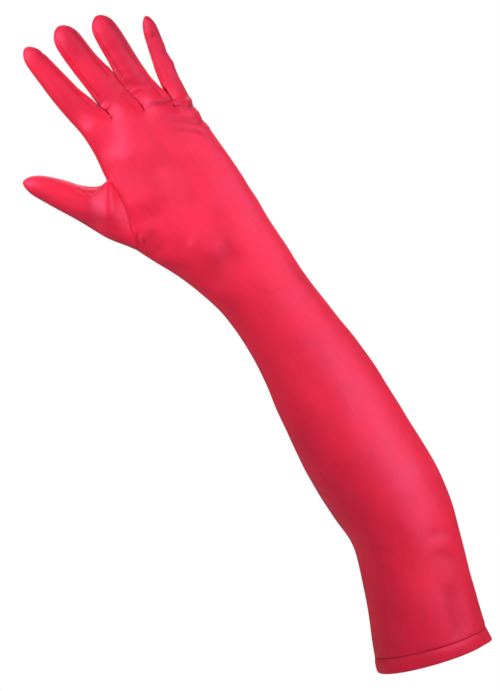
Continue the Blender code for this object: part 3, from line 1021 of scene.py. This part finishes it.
def hem_profile(sizes):
    """The hem band's section, top first and round its folded lower edge: pairs of the share of the
    height up the band and the metres outwards."""
    half = HEM_WALL / 2
    fold = half / HEM_HEIGHT
    section = []
    for n in range(HEM_OUTER + 1):
        up = 1 - (1 - fold) * n / HEM_OUTER
        rise = 1 - math.exp(-(((1 - up) * HEM_HEIGHT / sizes.hem_shoulder) ** 2))
        puff = sizes.hem_puff * (PUFF_AT_EDGE + math.sin(math.pi * up))
        section.append((up, puff * rise - sizes.seam_depth / 2))
    bottom = section[-1][1]
    for n in range(1, HEM_FOLD):
        turn = math.pi * n / HEM_FOLD
        section.append((fold * (1 - math.sin(turn)), bottom - half * (1 - math.cos(turn))))
    for n in range(HEM_INNER + 1):
        section.append((fold + (HEM_FLANGE - fold) * n / HEM_INNER, bottom - HEM_WALL))
    behind = -sizes.wall - HEM_CLEARANCE
    return [*section, (HEM_FLANGE, behind), (HEM_RETURN, behind)]


def hem_shade(share):
    """How much painted shade the hem gets in the crease below its stitches, at a share of its height."""
    return SEAM_SHADE * math.exp(-(((1 - share) / HEM_SHADE_FADE) ** 2))


def hem_band():
    """The turned-up hem, folded at its lower edge and puffed below its line of stitches."""
    sizes = glove_sizes()
    lower, up, tall, outward = hem_frames()
    section = hem_profile(sizes)
    wave = sizes.hem_wave * waves(lower, HEM_WAVE_SIZE, HEM_SEED)
    flare = sizes.hem_flare * smoothstep((outward[:, 0] - FLARE_FROM) / (1 - FLARE_FROM))
    points = []
    for share, out in section:
        soft = math.sin(math.pi * min(max(share, 0.0), 1.0))
        reach = out + wave * (WAVE_AT_EDGE + soft) + flare * (1 - share) ** 2
        points.append(lower + up * (tall * share - HEM_DROP)[:, None] + outward * reach[:, None])
    rows, count = len(points), HEM_COLUMNS
    faces, uvs = [], []
    girth = GIRTHS[ARM_POINTS] / count
    for r in range(rows):
        for k in range(count):
            s, j = (r + 1) % rows, (k + 1) % count
            faces.append((r * count + k, r * count + j, s * count + j, s * count + k))
            a, b = r * HEM_ROW, (r + 1) * HEM_ROW
            uvs.append(((k * girth, a), ((k + 1) * girth, a), ((k + 1) * girth, b), (k * girth, b)))
    # Painted shade in the crease below the stitches, row by row
    crease = np.concatenate([np.full(count, hem_shade(share)) for share, _ in section])
    name = PIECE_NAME.format(PIECES[HEM_PIECE].node)
    materials = [satin(glove_colours())]
    made = mesh_object(name, np.concatenate(points), faces, materials, None, uvs, crease)
    face_out(made)
    return made


def face_out(made):
    """Turns a closed mesh's faces outwards."""
    bm = bmesh.new()
    bm.from_mesh(made.data)
    bmesh.ops.recalc_face_normals(bm, faces=bm.faces)
    bm.to_mesh(made.data)
    bm.free()


def add_node(tree, kind, values=(), links=(), **settings):
    """Adds a node with its settings, its sockets' values, and links into its sockets."""
    node = tree.nodes.new(kind)
    for name, value in settings.items():
        setattr(node, name, value)
    for name, value in dict(values).items():
        node.inputs[name].default_value = value
    for name, source in dict(links).items():
        tree.links.new(source, node.inputs[name])
    return node


def new_material(name):
    """An empty node material and its tree."""
    material = bpy.data.materials.new(name)
    material.use_nodes = True
    material.node_tree.nodes.clear()
    return material, material.node_tree


def blend(tree, factor, first, second):
    """A colour between two, each given as a fixed colour or as a socket, by a socket's factor."""
    values, links = {}, {0: factor}
    for place, given in ((6, first), (7, second)):
        (links if isinstance(given, bpy.types.NodeSocket) else values)[place] = given
    return add_node(tree, "ShaderNodeMix", values, links, data_type="RGBA").outputs[2]


def speckle(tree, place, scale, detail):
    """Noise over places: its detail, and its scale, which is one number or one for each axis."""
    if isinstance(scale, tuple):
        place = add_node(tree, "ShaderNodeMapping", {"Scale": scale}, {"Vector": place}).outputs[0]
        scale = 1.0
    values = {"Scale": scale, "Detail": detail}
    return add_node(tree, "ShaderNodeTexNoise", values, {"Vector": place}).outputs["Fac"]


def bumps(tree, height, strength, distance):
    """The normal of a surface with this relief."""
    values = {"Strength": strength, "Distance": distance}
    return add_node(tree, "ShaderNodeBump", values, {"Height": height}).outputs[0]


def shade(tree, values, links):
    """Ends a material's tree in its surface."""
    shader = add_node(tree, "ShaderNodeBsdfPrincipled", values, links)
    add_node(tree, "ShaderNodeOutputMaterial", links={"Surface": shader.outputs[0]})


# Metres between threads, and across and along a slub
THREAD_STEP = 0.0005
SLUB_WIDTH, SLUB_LENGTH = 0.0096, 0.0016


def weave_height(tree, cloth):
    """A height from the cloth's crossing threads and its uneven slubs, by its UV map in metres."""
    threads = {"Scale": (1 / THREAD_STEP, 1 / THREAD_STEP, 1)}
    place = add_node(tree, "ShaderNodeMapping", threads, {"Vector": cloth}).outputs[0]
    sets = []
    for way, scale in (("X", 0.5), ("Y", 0.25)):
        values = {"Scale": scale, "Distortion": 0.4, "Detail": 1.0}
        wave = add_node(tree, "ShaderNodeTexWave", values, {"Vector": place}, bands_direction=way)
        sets.append(wave.outputs["Fac"])
    slubs = speckle(tree, cloth, (1 / SLUB_WIDTH, 1 / SLUB_LENGTH, 1), 3.0)
    both = add_node(tree, "ShaderNodeMath", (), dict(enumerate(sets)), operation="ADD").outputs[0]
    return add_node(tree, "ShaderNodeMath", (), {0: both, 1: slubs}, operation="MULTIPLY").outputs[0]


@cache
def satin(colours):
    """Stretch satin of polyamide and elastane, its float side: a broad soft shine with pale edges,
    painted shade in deep crimson in the folds and along the seams, and a fine ribbed grain."""
    material, tree = new_material("stretch_satin")
    cloth = add_node(tree, "ShaderNodeUVMap", uv_map="cloth").outputs[0]
    body = add_node(tree, "ShaderNodeTexCoord").outputs["Object"]
    # Painted shade in the folds and along the seams, as the mesh gives it
    crease = add_node(tree, "ShaderNodeAttribute", attribute_name="crease").outputs["Fac"]
    # Dye takes a little unevenly, over patches of about 30 mm
    patches = speckle(tree, body, 33.0, 2.0)
    # Thicker and thinner threads show as faint streaks, 3 mm wide and 25 mm long
    streaks = speckle(tree, cloth, (330.0, 40.0, 1.0), 2.0)
    both = {2: patches, 3: streaks}
    uneven = add_node(tree, "ShaderNodeMix", {0: 0.38}, both, data_type="FLOAT").outputs[0]
    spread_out = {"From Min": 0.35, "From Max": 0.65}
    uneven = add_node(tree, "ShaderNodeMapRange", spread_out, {"Value": uneven}).outputs[0]
    tone = blend(tree, uneven, colours.satin, colours.satin_light)
    # The colour turns deep crimson as painted shade where the painted crease shade lies
    depth = add_node(tree, "ShaderNodeMath", {1: 0.75}, {0: crease}, operation="MULTIPLY", use_clamp=True)
    # Threads 0.25 mm apart are too fine for the picture, so they are drawn 0.5 mm apart
    bump = bumps(tree, weave_height(tree, cloth), 0.22, 0.0003)
    rough = {"To Min": 0.44, "To Max": 0.54}
    shine = add_node(tree, "ShaderNodeMapRange", rough, {"Value": uneven}).outputs[0]
    way = add_node(tree, "ShaderNodeTangent", direction_type="UV_MAP", uv_map="cloth").outputs[0]
    shade(
        tree,
        {
            "Anisotropic": 0.45,
            "IOR": 1.6,
            "Specular IOR Level": 0.80,
            "Specular Tint": colours.shine,
            "Sheen Weight": 0.02,
            "Sheen Roughness": 0.35,
            "Sheen Tint": colours.sheen,
        },
        {
            "Base Color": blend(tree, depth.outputs[0], tone, colours.satin_deep),
            "Roughness": shine,
            "Normal": bump,
            "Tangent": way,
        },
    )
    return material


@cache
def satin_reverse(colours):
    """The satin's inner side: the same dye without the floats' shine, soft and slightly fuzzy."""
    material, tree = new_material("satin_reverse")
    cloth = add_node(tree, "ShaderNodeUVMap", uv_map="cloth").outputs[0]
    fuzz = speckle(tree, cloth, 900.0, 3.0)
    tone = blend(tree, fuzz, colours.satin_deep, colours.satin)
    bump = bumps(tree, weave_height(tree, cloth), 0.2, 0.0003)
    surface = {
        "Roughness": 0.8,
        "Specular IOR Level": 0.25,
        "Sheen Weight": 0.2,
        "Sheen Tint": colours.sheen,
    }
    shade(tree, surface, {"Base Color": tone, "Normal": bump})
    return material


def sewing_thread():
    """Spun polyester sewing thread: a round thread whose twist breaks up its low shine."""
    colours = glove_colours()
    material, tree = new_material("polyester_thread")
    body = add_node(tree, "ShaderNodeTexCoord").outputs["Object"]
    wave = {"Scale": 900.0, "Distortion": 1.0}
    twist = add_node(tree, "ShaderNodeTexWave", wave, {"Vector": body}).outputs["Fac"]
    tone = blend(tree, twist, colours.thread, colours.satin)
    bump = bumps(tree, twist, 0.4, 0.0001)
    surface = {"Roughness": 0.55, "Specular IOR Level": 0.4, "Sheen Weight": 0.1}
    shade(tree, surface, {"Base Color": tone, "Normal": bump})
    return material


def pale_paper():
    """Matt white background paper, lit so evenly that it shows as one pale tone without a shine."""
    colours = glove_colours()
    material, tree = new_material("background_paper")
    body = add_node(tree, "ShaderNodeTexCoord").outputs["Object"]
    bump = bumps(tree, speckle(tree, body, 400.0, 2.0), 0.02, 0.0005)
    straight = add_node(tree, "ShaderNodeLightPath").outputs["Is Camera Ray"]
    glow = add_node(tree, "ShaderNodeMath", {1: PAPER_GLOW}, {0: straight}, operation="MULTIPLY")
    surface = {
        "Base Color": colours.paper,
        "Roughness": 0.9,
        "Specular IOR Level": 0.2,
        "Emission Color": colours.paper,
    }
    shade(tree, surface, {"Normal": bump, "Emission Strength": glow.outputs[0]})
    return material


def stitch_tree():
    """Geometry nodes that lay stitches along a closed line: long thin beads of thread."""
    tree = bpy.data.node_groups.new("stitches_along_line", "GeometryNodeTree")
    face = tree.interface
    face.new_socket("Geometry", in_out="INPUT", socket_type="NodeSocketGeometry")
    for name in ("Stitch length", "Stitch gap", "Thread thickness"):
        face.new_socket(name, in_out="INPUT", socket_type="NodeSocketFloat")
    face.new_socket("Thread", in_out="INPUT", socket_type="NodeSocketMaterial")
    face.new_socket("Geometry", in_out="OUTPUT", socket_type="NodeSocketGeometry")
    given = add_node(tree, "NodeGroupInput").outputs
    line = add_node(tree, "GeometryNodeMeshToCurve", links={"Mesh": given["Geometry"]})
    parts = {0: given["Stitch length"], 1: given["Stitch gap"]}
    pitch = add_node(tree, "ShaderNodeMath", links=parts, operation="ADD").outputs[0]
    along = {"Curve": line.outputs[0], "Length": pitch}
    places = add_node(tree, "GeometryNodeCurveToPoints", links=along, mode="LENGTH").outputs
    bead = add_node(tree, "GeometryNodeMeshUVSphere", {"Segments": 8, "Rings": 5, "Radius": 0.5})
    thick = given["Thread thickness"]
    shape = {"X": thick, "Y": thick, "Z": given["Stitch length"]}
    size = add_node(tree, "ShaderNodeCombineXYZ", links=shape).outputs[0]
    laying = {"Instance": bead.outputs["Mesh"], "Scale": size}
    laying.update({name: places[name] for name in ("Points", "Rotation")})
    laid = add_node(tree, "GeometryNodeInstanceOnPoints", links=laying)
    real = add_node(tree, "GeometryNodeRealizeInstances", links={0: laid.outputs[0]})
    smooth = add_node(tree, "GeometryNodeSetShadeSmooth", links={0: real.outputs[0]})
    thread = {"Geometry": smooth.outputs[0], "Material": given["Thread"]}
    coloured = add_node(tree, "GeometryNodeSetMaterial", links=thread)
    add_node(tree, "NodeGroupOutput", links={0: coloured.outputs[0]})
    return tree


def stitched_line(name, points, thread):
    """A closed line of stitches along points, as a plain mesh."""
    sizes = glove_sizes()
    mesh = bpy.data.meshes.new(name)
    count = len(points)
    mesh.from_pydata([tuple(p) for p in points], [(n, (n + 1) % count) for n in range(count)], [])
    line = bpy.data.objects.new(name, mesh)
    bpy.context.scene.collection.objects.link(line)
    tree = stitch_tree()
    laid = line.modifiers.new("Stitches", "NODES")
    laid.node_group = tree
    values = {
        "Stitch length": sizes.stitch_length,
        "Stitch gap": sizes.stitch_gap,
        "Thread thickness": sizes.thread,
        "Thread": thread,
    }
    for item in tree.interface.items_tree:
        if item.in_out == "INPUT" and item.name in values:
            laid[item.identifier] = values[item.name]
    bpy.context.view_layer.update()
    made = bpy.data.meshes.new_from_object(line.evaluated_get(bpy.context.evaluated_depsgraph_get()))
    line.modifiers.clear()
    line.data = made
    bpy.data.meshes.remove(mesh)
    bpy.data.node_groups.remove(tree)
    if not made.polygons:
        raise RuntimeError(name + " came out without stitches")
    return line


def metres(name, description, default):
    """A length property in metres."""
    return bpy.props.FloatProperty(
        name=name, description=description, default=default, unit="LENGTH", precision=5
    )


def colour(name, description, code):
    """A colour property from an sRGB hex colour."""
    return bpy.props.FloatVectorProperty(
        name=name, description=description, default=linear(code), subtype="COLOR", size=4, min=0, max=1
    )


class GloveSizes(bpy.types.PropertyGroup):
    """Sizes of the cloth and its sewing."""

    wall: metres("Wall", "Thickness of the cloth", 0.0012)
    seam_gap: metres("Seam gap", "Gap between two sewn edges", 0.0002)
    seam_depth: metres("Seam depth", "How deep a seam draws the cloth in", 0.00028)
    seam_width: metres("Seam width", "Half width of the groove along a seam", 0.0012)
    pucker: metres("Pucker", "Height of the puckers beside a seam", 0.00030)
    pucker_step: metres("Pucker step", "Length of a pucker along its seam", 0.0022)
    pucker_reach: metres("Pucker reach", "How far puckers run out from a seam", 0.0030)
    ripple: metres("Ripple", "Height of the cloth's soft unevenness", 0.00050)
    ripple_size: metres("Ripple size", "Length of the cloth's soft unevenness", 0.022)
    hem_puff: metres("Hem puff", "How far the hem band swells between its edges", 0.0004)
    hem_shoulder: metres("Hem shoulder", "Height over which the band rises from its stitches", 0.0011)
    hem_wave: metres("Hem wave", "Height of the hem's waves between its stitches", 0.00035)
    hem_flare: metres("Hem flare", "How far the hem stands out on the outer side", 0.0030)
    stitch_length: metres("Stitch length", "Length of one hem stitch", 0.0024)
    stitch_gap: metres("Stitch gap", "Gap between hem stitches", 0.0006)
    thread: metres("Thread", "Thickness of the sewing thread", 0.00035)
    fold_strength: bpy.props.FloatProperty(
        name="Fold strength", description="Share of their full height that folds have", default=1.0
    )


class GloveColours(bpy.types.PropertyGroup):
    """Colours of the cloth, thread and background."""

    satin: colour("Satin", "The dyed satin", "#DC1733")
    satin_light: colour("Light satin", "The satin where the dye took less", "#EE1C39")
    # Deep satin is painted shade in the front's folds and along its seams, and on the inner side the darker
    # tone of its fuzz
    satin_deep: colour("Deep satin", "The satin in folds and along seams", "#9C0422")
    shine: colour("Shine", "The satin's own broad shine", "#FF90C8")
    sheen: colour("Sheen", "The pale shine at the satin's edges", "#FF6C90")
    thread: colour("Thread", "The sewing thread", "#B8122F")
    paper: colour("Paper", "The background paper", "#F4F2F1")


def finished(made, *nodes):
    """Fixes a piece to the frame: it moves with the glove and stands for its solids."""
    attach(made, BODY)
    if nodes:
        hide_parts(*nodes)


def sew(marks):
    """Makes sewn pieces, each in its solid's place."""
    for mark in marks:
        made = sewn_piece(mark)
        finished(made, PIECES[mark].node)
    return {"FINISHED"}


class GLOVE_OT_hand_and_sleeve(bpy.types.Operator):
    """Makes the palm, the back, the fingers' fronts and backs, and the sleeve"""

    bl_idname = "glove.hand_and_sleeve"
    bl_label = "Hand and sleeve"

    def execute(self, context):
        return sew([BODY_PIECE])


class GLOVE_OT_thumb(bpy.types.Operator):
    """Makes the set-in thumb"""

    bl_idname = "glove.thumb"
    bl_label = "Thumb"

    def execute(self, context):
        return sew([THUMB_PIECE])


class GLOVE_OT_fourchettes(bpy.types.Operator):
    """Makes the strips between the fingers"""

    bl_idname = "glove.fourchettes"
    bl_label = "Fourchettes"

    def execute(self, context):
        return sew(range(FIRST_FOURCHETTE, len(PIECES)))


class GLOVE_OT_hem(bpy.types.Operator):
    """Makes the turned-up hem and its line of stitches"""

    bl_idname = "glove.hem"
    bl_label = "Hem and stitches"

    def execute(self, context):
        band = hem_band()
        sizes = glove_sizes()
        lower, up, tall, outward = hem_frames()
        line = lower + up * (tall - STITCH_DROP)[:, None] + outward * (sizes.thread - sizes.seam_depth) / 2
        stitches = stitched_line("hem_stitches", line, sewing_thread())
        finished(band, PIECES[HEM_PIECE].node)
        finished(stitches)
        return {"FINISHED"}


# How far the floor lies below the glove, its side, and how much its paper glows to the camera
FLOOR_DROP = 0.50
FLOOR_SIZE = 5.0
PAPER_GLOW = 0.55

# Soft boxes: place, aim, size, power, and the spread of the light in degrees
SoftBox = namedtuple("SoftBox", "name place aim size power spread")
SOFT_BOXES = [
    SoftBox("hand_light", (-0.64, -0.26, 0.50), (-0.26, 0.0, 0.37), 0.30, 1.05, 120),
    SoftBox("arm_light", (0.50, -0.55, 0.54), (-0.06, 0.0, 0.22), 0.50, 0.53, 20),
    SoftBox("back_light", (-0.10, 0.95, 1.20), (-0.13, 0.0, 0.22), 1.20, 5.0, 120),
]
# The room's light from below and from above, and its share that comes from behind the glove
FLOOR_LIGHT, CEILING_LIGHT, BEHIND_LIGHT = 0.28, 0.48, 0.25


def white_studio():
    """A white surround whose light comes mostly from above and from the camera's side."""
    world = bpy.data.worlds.new("studio")
    world.use_nodes = True
    tree = world.node_tree
    tree.nodes.clear()
    way = add_node(tree, "ShaderNodeTexCoord").outputs["Generated"]
    parts = add_node(tree, "ShaderNodeSeparateXYZ", links={0: way})
    upward = {"From Min": -1.0, "From Max": 1.0, "To Min": FLOOR_LIGHT, "To Max": CEILING_LIGHT}
    height = add_node(tree, "ShaderNodeMapRange", upward, {"Value": parts.outputs["Z"]})
    behind = add_node(
        tree,
        "ShaderNodeMapRange",
        {"From Min": -0.3, "From Max": 0.5, "To Min": 1.0, "To Max": BEHIND_LIGHT},
        {"Value": parts.outputs["Y"]},
        interpolation_type="SMOOTHSTEP",
    )
    both = {0: height.outputs[0], 1: behind.outputs[0]}
    light = add_node(tree, "ShaderNodeMath", links=both, operation="MULTIPLY").outputs[0]
    white = {"Color": (1, 1, 1, 1)}
    room = add_node(tree, "ShaderNodeBackground", white, {"Strength": light}).outputs[0]
    plain = add_node(tree, "ShaderNodeBackground", {**white, "Strength": 1.0}).outputs[0]
    straight = add_node(tree, "ShaderNodeLightPath").outputs["Is Camera Ray"]
    mixed = add_node(tree, "ShaderNodeMixShader", links={0: straight, 1: room, 2: plain})
    add_node(tree, "ShaderNodeOutputWorld", links={"Surface": mixed.outputs[0]})
    return world


def soft_box(row):
    """A square light that points at a place."""
    light = bpy.data.lights.new(row.name, "AREA")
    light.shape = "SQUARE"
    light.size = row.size
    light.energy = row.power
    light.spread = math.radians(row.spread)
    lamp = bpy.data.objects.new(row.name, light)
    lamp.location = row.place
    lamp.rotation_euler = (Vector(row.aim) - Vector(row.place)).to_track_quat("-Z", "Y").to_euler()
    bpy.context.scene.collection.objects.link(lamp)


class GLOVE_OT_stage(bpy.types.Operator):
    """Makes the pale floor, the soft studio light and the camera"""

    bl_idname = "glove.stage"
    bl_label = "Stage"

    def execute(self, context):
        low = CAD_BOX[0][2] - FLOOR_DROP
        half = FLOOR_SIZE / 2
        corners = [(-half, -half, low), (half, -half, low), (half, half, low), (-half, half, low)]
        floor = mesh_object("floor", corners, [(0, 1, 2, 3)], [pale_paper()])
        for row in SOFT_BOXES:
            soft_box(row)
        context.scene.world = white_studio()
        context.scene.view_settings.view_transform = "Standard"
        camera = bpy.data.cameras.new("camera")
        camera.sensor_width = SENSOR
        camera.lens = SENSOR * CAMERA_DISTANCE / (FRAME_HEIGHT * PIXEL)
        holder = bpy.data.objects.new("camera", camera)
        holder.location = (CAMERA_X, -CAMERA_DISTANCE, CAMERA_Z)
        holder.rotation_euler = (math.radians(90), 0, 0)
        context.scene.collection.objects.link(holder)
        context.scene.camera = holder
        return {"FINISHED"}


class VIEW3D_PT_glove(bpy.types.Panel):
    """The glove's steps, sizes and colours"""

    bl_label = "Dress glove"
    bl_space_type = "VIEW_3D"
    bl_region_type = "UI"
    bl_category = "Glove"

    def draw(self, context):
        for step in STEPS:
            self.layout.operator(step.bl_idname)
        for group in (context.scene.glove_sizes, context.scene.glove_colours):
            box = self.layout.box()
            for name in group.bl_rna.properties.keys():
                if name not in ("rna_type", "name"):
                    box.prop(group, name)


STEPS = (
    GLOVE_OT_hand_and_sleeve,
    GLOVE_OT_thumb,
    GLOVE_OT_fourchettes,
    GLOVE_OT_hem,
    GLOVE_OT_stage,
)
CLASSES = (GloveSizes, GloveColours, *STEPS, VIEW3D_PT_glove)


def register():
    for kind in CLASSES:
        bpy.utils.register_class(kind)
    bpy.types.Scene.glove_sizes = bpy.props.PointerProperty(type=GloveSizes)
    bpy.types.Scene.glove_colours = bpy.props.PointerProperty(type=GloveColours)


def unregister():
    del bpy.types.Scene.glove_colours
    del bpy.types.Scene.glove_sizes
    for kind in reversed(CLASSES):
        bpy.utils.unregister_class(kind)


def main():
    register()
    bpy.ops.glove.hand_and_sleeve()
    bpy.ops.glove.thumb()
    bpy.ops.glove.fourchettes()
    bpy.ops.glove.hem()
    bpy.ops.glove.stage()


if __name__ == "__main__":
    main()
